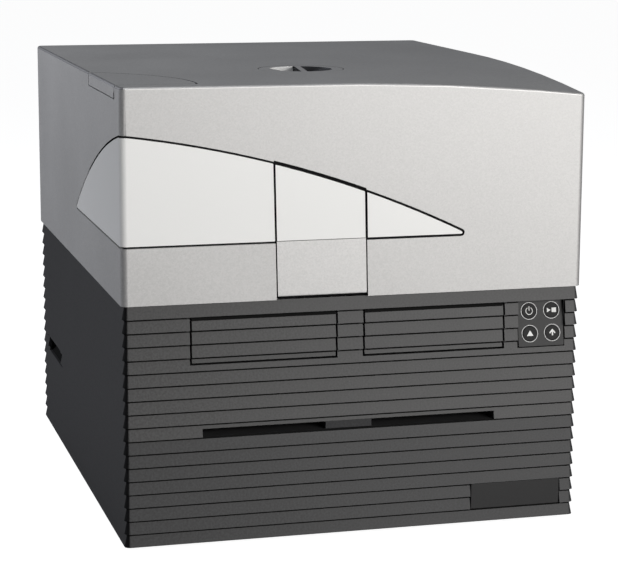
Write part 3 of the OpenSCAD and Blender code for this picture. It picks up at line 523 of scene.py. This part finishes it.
# %% Joints and edges with painted shade or painted light
# Places are in millimetres. A face that points straight out of its wall has
# a share of 1 that way; the rules below ask for less or for more of it.
FRONT_SKIN, SIDE_SKIN, SIDE_END = -287.1, -242.1, -100
CORNER_X, CORNER_Y = -238, -283
FASCIA_FOOT, FASCIA_HEAD, FASCIA_TIP, HOOD_FOOT = 250, 445, 232, 262
TOP_Z, TOP_HALF_W, TOP_HALF_D = 468, 241, 286
LID_X, LID_Y, LID_Z = -90, -80, 470
LEDGE_Z, KEYPAD_BACK, BRIDGE_Y = 255.5, -288.4, -284
FRONT_ROUND, LEFT_ROUND = (-286, 440), (-236, 462)
SHOW_FACE = 0.95
STEEP, TOP_STEEP = 0.8, 0.93
CAP_X, CAP_Y = -14, -112
CAP_RIM, CAP_SEAT, CAP_POCKET, CAP_FACE_Z = 45.3, 48, 40, 474.2
KEYPAD_OPENING = ((168, 240), (187, 249))
PLATE_RIGHT_WALL = ((200, 236), (17, 51))


def coat_faces(name, coat, rule):
    """Give the faces that the rule picks another finish."""
    piece = bpy.data.objects[name + "_dressed"]
    piece.data.materials.append(FINISH[coat])
    picked = [f for f in piece.data.polygons if rule(f.center / MM, f.normal)]
    for face in picked:
        face.material_index = len(piece.data.materials) - 1
    print(name, coat, "on faces:", len(picked))


def in_zone(c, zone):
    (left, right), (foot, head) = zone
    return left < c.x < right and foot < c.z < head


def cap_radius(c):
    return math.hypot(c.x - CAP_X, c.y - CAP_Y)


def fascia_joint(c, n):
    """Walls of the joint and the rounded lips beside it."""
    front, side = c.y < CORNER_Y, c.x < CORNER_X
    outward = math.hypot(n.x, n.y) if front and side else abs(n.y) if front else abs(n.x)
    in_skin = c.y < FRONT_SKIN or c.x < SIDE_SKIN and c.y < SIDE_END or front and side
    return in_skin and outward < SHOW_FACE


def housing_joint(c, n):
    """The hood's side of the fascia joint, and its lid and cap seams."""
    beside_fascia = (FASCIA_FOOT < c.z < FASCIA_HEAD and c.x < FASCIA_TIP
                     and (c.z > HOOD_FOOT or n.z > -0.3))
    if beside_fascia and fascia_joint(c, n):
        return True
    on_top = c.z > TOP_Z and abs(c.x) < TOP_HALF_W and abs(c.y) < TOP_HALF_D
    on_top = on_top and abs(n.z) < TOP_STEEP
    by_lid = c.x < LID_X and c.y < LID_Y
    return on_top and (by_lid or cap_radius(c) < CAP_SEAT)


def inlay_edges(c, n):
    return abs(n.y) < SHOW_FACE and n.z > -0.5


def filter_door_edges(c, n):
    sides = abs(n.y) < SHOW_FACE and abs(n.z) < 0.5
    underside = n.z < -0.2 and n.y > -0.8
    return c.y < CORNER_Y and (sides or underside)


def lid_edges(c, n):
    return abs(n.z) < STEEP and c.x > CORNER_X and c.z > LID_Z


# Painted shade on the cap's rim joint and on the inner wall of its left pocket.
def cap_rim_and_left_wall(c, n):
    left_wall = c.x < CAP_X and n.x < 0 and n.y > -0.4
    return abs(n.z) < STEEP and (cap_radius(c) > CAP_RIM or left_wall)


# Painted highlight: the pale fascia plastic on the lit wall of the cap's left pocket.
def cap_painted_highlight_wall(c, n):
    return abs(n.z) < STEEP and cap_radius(c) < CAP_POCKET and c.x < CAP_X and n.y < -0.3


def cap_right_pocket(c, n):
    return c.z < CAP_FACE_Z and cap_radius(c) < CAP_POCKET and c.x > CAP_X


def panel_edges(c, n):
    """The left corner of a front panel, and the ledge under the hood."""
    return c.x < CORNER_X and n.x < -0.3 or c.z > LEDGE_Z and n.z > 0.3


def keypad_opening(c, n):
    return in_zone(c, KEYPAD_OPENING) and abs(n.y) < 0.5 and c.y > KEYPAD_BACK


def plate_right_wall(c, n):
    return in_zone(c, PLATE_RIGHT_WALL) and abs(n.y) < 0.5 and n.x < -0.5


def bridge_front(c, n):
    return c.y < BRIDGE_Y and n.y < -0.5


def side_panel_front(c, n):
    return c.y < CORNER_Y and n.y < -0.3


def front_top_rounding(c, n):
    return c.y < FRONT_ROUND[0] and c.z > FRONT_ROUND[1] and n.y < -0.6 and n.z > 0.3


def left_top_rounding(c, n):
    return c.x < LEFT_ROUND[0] and c.z > LEFT_ROUND[1] and n.x < -0.2 and n.z > 0.2


COATS = (
    ("left_fascia", "painted_joint_shade", fascia_joint),
    ("right_fascia", "painted_joint_shade", fascia_joint),
    ("filter_door_inlay", "painted_joint_shade", inlay_edges),
    ("filter_door", "painted_joint_shade", filter_door_edges),
    ("upper_housing", "painted_joint_shade", housing_joint),
    ("cuvette_lid", "painted_joint_shade", lid_edges),
    ("port_cap", "painted_joint_shade", cap_rim_and_left_wall),
    ("port_cap", "white_fascia", cap_painted_highlight_wall),
    ("port_cap", "recess_shade", cap_right_pocket),
    ("front_panel_upper", "painted_joint_shade", panel_edges),
    ("front_panel_lower", "painted_joint_shade", panel_edges),
    ("front_panel_upper", "painted_joint_shade", keypad_opening),
    ("front_panel_lower", "painted_joint_shade", plate_right_wall),
    ("blank_plate", "painted_joint_shade", lambda c, n: n.x > 0.6),
    ("keypad_plate", "painted_joint_shade", lambda c, n: abs(n.x) > 0.6),
    # Painted shade: the recessed bridge between the slots takes the darker side-panel plastic.
    ("slot_duct", "side_plastic", bridge_front),
    ("left_side_panel", "painted_joint_shade", side_panel_front),
    ("upper_housing", "silver_painted_highlight", front_top_rounding),
    ("upper_housing", "silver_painted_shade", left_top_rounding),
    ("cuvette_lid", "silver_painted_shade", left_top_rounding),
)
for name, coat, rule in COATS:
    coat_faces(name, coat, rule)

# %% [markdown]
# Marks on the four keys: power, run and stop, eject, and an arrow that
# brings the tray in. Each is a thin raised pad, made from strips and
# polygons in the key's own plane, and rides on its key.

# %% Key marks
# Key centres and marks are in millimetres on the keypad's own face.
LEAN = math.radians(10.6)
KEYPAD_FOOT = Vector((202.6, -288.6, 193.4)) * MM
KEY_CENTRE = {"power_button": (-12.45, 37.35), "run_button": (12.65, 37.35),
              "eject_button": (-12.45, 13.45), "up_button": (12.65, 13.45)}
CAP_FACE, MARK_THICK = -1.0, 0.12


def on_keypad(x, depth, z):
    """A point of the leaning keypad, in millimetres, placed in the frame."""
    y = depth * math.cos(LEAN) + z * math.sin(LEAN)
    return KEYPAD_FOOT + Vector((x, y, z * math.cos(LEAN) - depth * math.sin(LEAN))) * MM


def add_prism(mesh, front_points, back_points):
    """Two flat outlines joined by a strip of side faces."""
    front = [mesh.verts.new(point) for point in front_points]
    back = [mesh.verts.new(point) for point in back_points]
    mesh.faces.new(front)
    mesh.faces.new(list(reversed(back)))
    for i in range(len(front)):
        j = (i + 1) % len(front)
        mesh.faces.new((front[i], back[i], back[j], front[j]))


def as_piece(mesh, name, coat, body):
    data = bpy.data.meshes.new(name)
    mesh.to_mesh(data)
    mesh.free()
    data.materials.append(FINISH[coat])
    finished(add_object(name, data), body)
    return data


def mark_piece(key, outlines):
    cx, cz = KEY_CENTRE[key]
    mesh = bmesh.new()
    for outline in outlines:
        add_prism(mesh, *([on_keypad(cx + x, depth, cz + z) for x, z in outline]
                          for depth in (CAP_FACE - MARK_THICK, CAP_FACE + MARK_THICK)))
    bmesh.ops.recalc_face_normals(mesh, faces=mesh.faces)
    as_piece(mesh, key + "_mark", "key_mark", BODY_OF[key])


def ring_part(radius, width, start, stop, steps=28):
    points = []
    outside = (radius + width / 2, range(steps + 1))
    inside = (radius - width / 2, range(steps, -1, -1))
    for r, span in (outside, inside):
        for i in span:
            a = math.radians(start + (stop - start) * i / steps)
            points.append((r * math.cos(a), r * math.sin(a)))
    return points


mark_piece("power_button", [
    ring_part(3.7, 0.7, 118, 422),
    [(-0.35, 0.4), (0.35, 0.4), (0.35, 4.9), (-0.35, 4.9)]])
mark_piece("run_button", [
    [(-5.2, -2.5), (-1.0, 0), (-5.2, 2.5)],
    [(0.2, -2.4), (5.2, -2.4), (5.2, 2.4), (0.2, 2.4)]])
mark_piece("eject_button", [[(-3.7, -2.4), (3.7, -2.4), (0, 3.4)]])
mark_piece("up_button", [
    [(-0.7, -2.9), (0.7, -2.9), (0.7, 1.4), (-0.7, 1.4)],
    [(0, 3.9), (-3.6, 0.1), (-2.6, -1.0), (0, 1.7), (2.6, -1.0), (3.6, 0.1)]])
print("key marks:", len(KEY_CENTRE))

# %% [markdown]
# Screws, teeth, filter cells and chip legs repeat many times. Each kind is a
# small Geometry Nodes tree: points come from a mesh or a curve, one part is
# instanced on them, and the instances are made real at the end so the result
# is an ordinary mesh.

# %% Geometry Nodes helpers
def growth_tree(name, inputs):
    tree = bpy.data.node_groups.new(name, "GeometryNodeTree")
    tree.interface.new_socket("Geometry", in_out="INPUT", socket_type="NodeSocketGeometry")
    tree.interface.new_socket("Geometry", in_out="OUTPUT", socket_type="NodeSocketGeometry")
    for label, kind, value in inputs:
        made = tree.interface.new_socket(label, in_out="INPUT", socket_type="NodeSocket" + kind)
        made.default_value = value
    tree.interface.new_socket("Finish", in_out="INPUT", socket_type="NodeSocketMaterial")
    return tree, tree.nodes.new("NodeGroupInput").outputs, tree.nodes.new("NodeGroupOutput")


def add_node(tree, kind, settings=None, **links):
    """Add a node; keywords are input names with _ for a blank, or i0, i1."""
    node = tree.nodes.new(kind)
    for key, value in (settings or {}).items():
        setattr(node, key, value)
    for key, value in links.items():
        by_number = key[0] == "i" and key[1:].isdigit()
        entry = node.inputs[int(key[1:]) if by_number else key.replace("_", " ")]
        if isinstance(value, bpy.types.NodeSocket):
            tree.links.new(value, entry)
        else:
            entry.default_value = value
    return node


def end_tree(tree, out, geometry, finish_socket):
    real = add_node(tree, "GeometryNodeRealizeInstances", Geometry=geometry)
    coat = add_node(tree, "GeometryNodeSetMaterial", Geometry=real.outputs[0],
                    Material=finish_socket)
    tree.links.new(coat.outputs[0], out.inputs[0])


def grown(name, tree, base_mesh, values, finish_name, body):
    seed = add_object(name + "_seed", base_mesh)
    growth = seed.modifiers.new("growth", "NODES")
    growth.node_group = tree
    for item in tree.interface.items_tree:
        if item.in_out == "INPUT" and item.name in values:
            growth[item.identifier] = values[item.name]
        elif item.in_out == "INPUT" and item.name == "Finish":
            growth[item.identifier] = FINISH[finish_name]
    data = plain_copy(seed)
    bpy.data.objects.remove(seed)
    data.name = name
    piece = add_object(name, data)
    finished(piece, body)
    print(name, "faces:", len(data.polygons))
    return piece


def points_mesh(name, points, edges=()):
    data = bpy.data.meshes.new(name)
    data.from_pydata([Vector(p) * MM for p in points], list(edges), [])
    return data


# %% [markdown]
# The rear panel's screws have a low tapered head with a six-sided socket.
# The socket is cut once with Mesh Boolean, and only then is the head
# instanced, so eight screws cost one cut.

# %% Screws
CROWN_TAPER, HEAD_DEPTH = 0.82, 2
SCREW_COLUMNS, SCREW_ROWS = (-225, -75, 75, 225), (20, 240)
SCREW, given, out = growth_tree("screw_heads", [
    ("Head Radius", "Float", 0.003), ("Head Height", "Float", 0.002),
    ("Socket Radius", "Float", 0.0015), ("Turn", "Vector", (0.0, 0.0, 0.0))])
head = add_node(SCREW, "GeometryNodeMeshCone", Vertices=28, Side_Segments=1,
                Radius_Bottom=given["Head Radius"], Depth=given["Head Height"])
crown = add_node(SCREW, "ShaderNodeMath", {"operation": "MULTIPLY"},
                 i0=given["Head Radius"], i1=CROWN_TAPER)
SCREW.links.new(crown.outputs[0], head.inputs["Radius Top"])
hexagon = add_node(SCREW, "GeometryNodeMeshCylinder", Vertices=6,
                   Radius=given["Socket Radius"], Depth=given["Head Height"])
lift = add_node(SCREW, "ShaderNodeCombineXYZ", Z=given["Head Height"])
raised = add_node(SCREW, "GeometryNodeTransform", Geometry=hexagon.outputs[0],
                  Translation=lift.outputs[0])
cut = add_node(SCREW, "GeometryNodeMeshBoolean", {"operation": "DIFFERENCE"}, i0=head.outputs[0])
SCREW.links.new(raised.outputs[0], cut.inputs[1])
turned = add_node(SCREW, "GeometryNodeTransform", Geometry=cut.outputs[0], Rotation=given["Turn"])
rows = add_node(SCREW, "GeometryNodeInstanceOnPoints", Points=given["Geometry"],
                Instance=turned.outputs[0])
end_tree(SCREW, out, rows.outputs[0], given["Finish"])

HEAD_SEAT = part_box("panel_screws")[1].y * 1000 - HEAD_DEPTH
rear_spots = [(x, HEAD_SEAT, z) for x in SCREW_COLUMNS for z in SCREW_ROWS]
piece = grown(
    "rear_screws", SCREW, points_mesh("rear_spots", rear_spots),
    {"Head Radius": 0.003, "Head Height": 0.0019, "Socket Radius": 0.0015,
     "Turn": (-math.pi / 2, 0, 0)},
    "steel", BODY_OF["panel_screws"])
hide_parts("panel_screws")

# %% [markdown]
# The tray belt is a toothed belt. Its path is a mesh loop turned into a
# curve, resampled by the tooth pitch, with one bar for each tooth. The
# drive pulley gets bars round a circle; the idler is smooth.

# %% Belt and pulley teeth
TEETH, given, out = growth_tree("teeth_on_path", [
    ("Pitch", "Float", 0.002), ("Tooth Size", "Vector", (0.001, 0.0008, 0.006))])
path = add_node(TEETH, "GeometryNodeMeshToCurve", Mesh=given["Geometry"])
steps = add_node(TEETH, "GeometryNodeResampleCurve", {"mode": "LENGTH"},
                 Curve=path.outputs[0], Length=given["Pitch"])
bar = add_node(TEETH, "GeometryNodeMeshCube", Size=given["Tooth Size"])
heading = add_node(TEETH, "GeometryNodeInputTangent")
aim = add_node(TEETH, "FunctionNodeAlignRotationToVector", {"axis": "X"}, Vector=heading.outputs[0])
laid = add_node(TEETH, "GeometryNodeInstanceOnPoints", Points=steps.outputs[0],
                Instance=bar.outputs[0], Rotation=aim.outputs[0])
end_tree(TEETH, out, laid.outputs[0], given["Finish"])


def loop_mesh(name, points):
    return points_mesh(name, points, [(i, (i + 1) % len(points)) for i in range(len(points))])


BELT_X, DRIVE_Y, IDLER_Y, PULLEY_R = -97.9, 120, -235, 8
belt_low, belt_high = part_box("drive_belt")
belt_z = (belt_low.z + belt_high.z) * 500
BELT_INSET, TOOTH_INSET = 0.3, 0.75
HALF_TURN = [math.pi * i / 12 for i in range(13)]
FULL_TURN = [math.tau * i / 48 for i in range(48)]


def round_pulley(y, radius, angles, side=1):
    return [(BELT_X + side * radius * math.cos(a), y + side * radius * math.sin(a), belt_z)
            for a in angles]


inner = PULLEY_R - BELT_INSET
belt_path = round_pulley(DRIVE_Y, inner, HALF_TURN) + round_pulley(IDLER_Y, inner, HALF_TURN, -1)
grown("belt_teeth", TEETH, loop_mesh("belt_path", belt_path),
      {"Pitch": 0.003, "Tooth Size": (0.0014, 0.0006, 0.0056)},
      "belt", BODY_OF["drive_belt"])
ring = round_pulley(DRIVE_Y, PULLEY_R - TOOTH_INSET, FULL_TURN)
grown("drive_pulley_teeth", TEETH, loop_mesh("drive_pulley_ring", ring),
      {"Pitch": 0.003, "Tooth Size": (0.0013, 0.0008, 0.0066)},
      "steel", BODY_OF["drive_pulley"])

# %% [markdown]
# Behind each long slot sits the dust filter. A honeycomb holds the foam; one
# six-sided cell, a thin tube bent round a hexagon, is instanced on a grid
# whose every second row is shifted by half a cell.

# %% Filter honeycomb
COMB, given, out = growth_tree("honeycomb", [
    ("Cell Radius", "Float", 0.0018), ("Wall", "Float", 0.0003), ("Depth", "Float", 0.0012)])
cell = add_node(COMB, "GeometryNodeCurvePrimitiveCircle", Resolution=6, Radius=given["Cell Radius"])
strip = add_node(COMB, "GeometryNodeCurvePrimitiveQuadrilateral",
                 Width=given["Wall"], Height=given["Depth"])
tube = add_node(COMB, "GeometryNodeCurveToMesh", Curve=cell.outputs[0],
                Profile_Curve=strip.outputs[0])
stood = add_node(COMB, "GeometryNodeTransform", Geometry=tube.outputs[0],
                 Rotation=(math.pi / 2, 0.0, 0.0))
field = add_node(COMB, "GeometryNodeInstanceOnPoints", Points=given["Geometry"],
                 Instance=stood.outputs[0])
end_tree(COMB, out, field.outputs[0], given["Finish"])

foam_low, foam_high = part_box("air_filter")
CELL = 2.0
ALONG, UP, SHIFT = CELL * 1.732, CELL * 1.5, CELL * 0.866
END_GAP, EDGE_GAP, PROUD = 2.5, 1.5, 0.2
cells = []
row = 0
z = foam_low.z * 1000 + EDGE_GAP
while z < foam_high.z * 1000 - EDGE_GAP:
    x = foam_low.x * 1000 + END_GAP + (row % 2) * SHIFT
    while x < foam_high.x * 1000 - END_GAP:
        cells.append((x, foam_low.y * 1000 - PROUD, z))
        x += ALONG
    row += 1
    z += UP
grown("filter_comb", COMB, points_mesh("comb_cells", cells),
      {"Cell Radius": CELL * MM, "Wall": 0.0003, "Depth": 0.0012},
      "black_foam_and_shade", BODY_OF["air_filter"])

# %% [markdown]
# Each chip on the main board has legs along two edges: a Mesh Line gives the
# points of one row, a short bar is instanced on them, and the row itself is
# instanced at the start of each edge.

# %% Chip legs
LEGS, given, out = growth_tree("chip_legs", [
    ("Count", "Int", 10), ("Pitch", "Vector", (0.002, 0.0, 0.0)),
    ("Leg Size", "Vector", (0.0006, 0.0024, 0.0009))])
row_line = add_node(LEGS, "GeometryNodeMeshLine", Count=given["Count"], Offset=given["Pitch"])
leg = add_node(LEGS, "GeometryNodeMeshCube", Size=given["Leg Size"])
one_row = add_node(LEGS, "GeometryNodeInstanceOnPoints", Points=row_line.outputs[0],
                   Instance=leg.outputs[0])
all_rows = add_node(LEGS, "GeometryNodeInstanceOnPoints", Points=given["Geometry"],
                    Instance=one_row.outputs[0])
end_tree(LEGS, out, all_rows.outputs[0], given["Finish"])

FIRST_LEG, CHIP_STEP, LEG_Z = 61.5, 34, 32.3
row_starts = [(FIRST_LEG + i * CHIP_STEP, y, LEG_Z) for i in range(4) for y in (-41, -17)]
grown("chip_legs", LEGS, points_mesh("leg_rows", row_starts),
      {"Count": 10, "Pitch": (0.0021, 0.0, 0.0), "Leg Size": (0.0008, 0.0024, 0.0010)},
      "steel", BODY_OF["main_board"])

# %% [markdown]
# The rocker of the mains switch: two faces that meet in a shallow valley, as
# a moulded rocker has, set in the opening beside the socket.

# %% Mains rocker
ROCKER_ENDS, ROCKER_FOOT, ROCKER_HEAD = (-173.6, -166.4), 38.4, 51.6
ROCKER_ROUND, ROCKER_DEPTH = 0.35, 5.5
FOOT_RISE, VALLEY_RISE, HEAD_RISE = 4.2, 3.0, 5.2
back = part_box("power_inlet")[1].y * 1000 - ROCKER_DEPTH
valley = (ROCKER_FOOT + ROCKER_HEAD) / 2
profile = [(back, ROCKER_FOOT), (back + FOOT_RISE, ROCKER_FOOT), (back + VALLEY_RISE, valley),
           (back + HEAD_RISE, ROCKER_HEAD), (back, ROCKER_HEAD)]
mesh = bmesh.new()
add_prism(mesh, *([Vector((x, y, z)) * MM for y, z in profile] for x in ROCKER_ENDS))
bmesh.ops.recalc_face_normals(mesh, faces=mesh.faces)
bmesh.ops.bevel(
    mesh, geom=mesh.edges[:], offset=ROCKER_ROUND * MM, segments=2, affect="EDGES")
data = as_piece(mesh, "mains_rocker", "black_plastic",
                BODY_OF["power_inlet"])
print("rocker faces:", len(data.polygons))
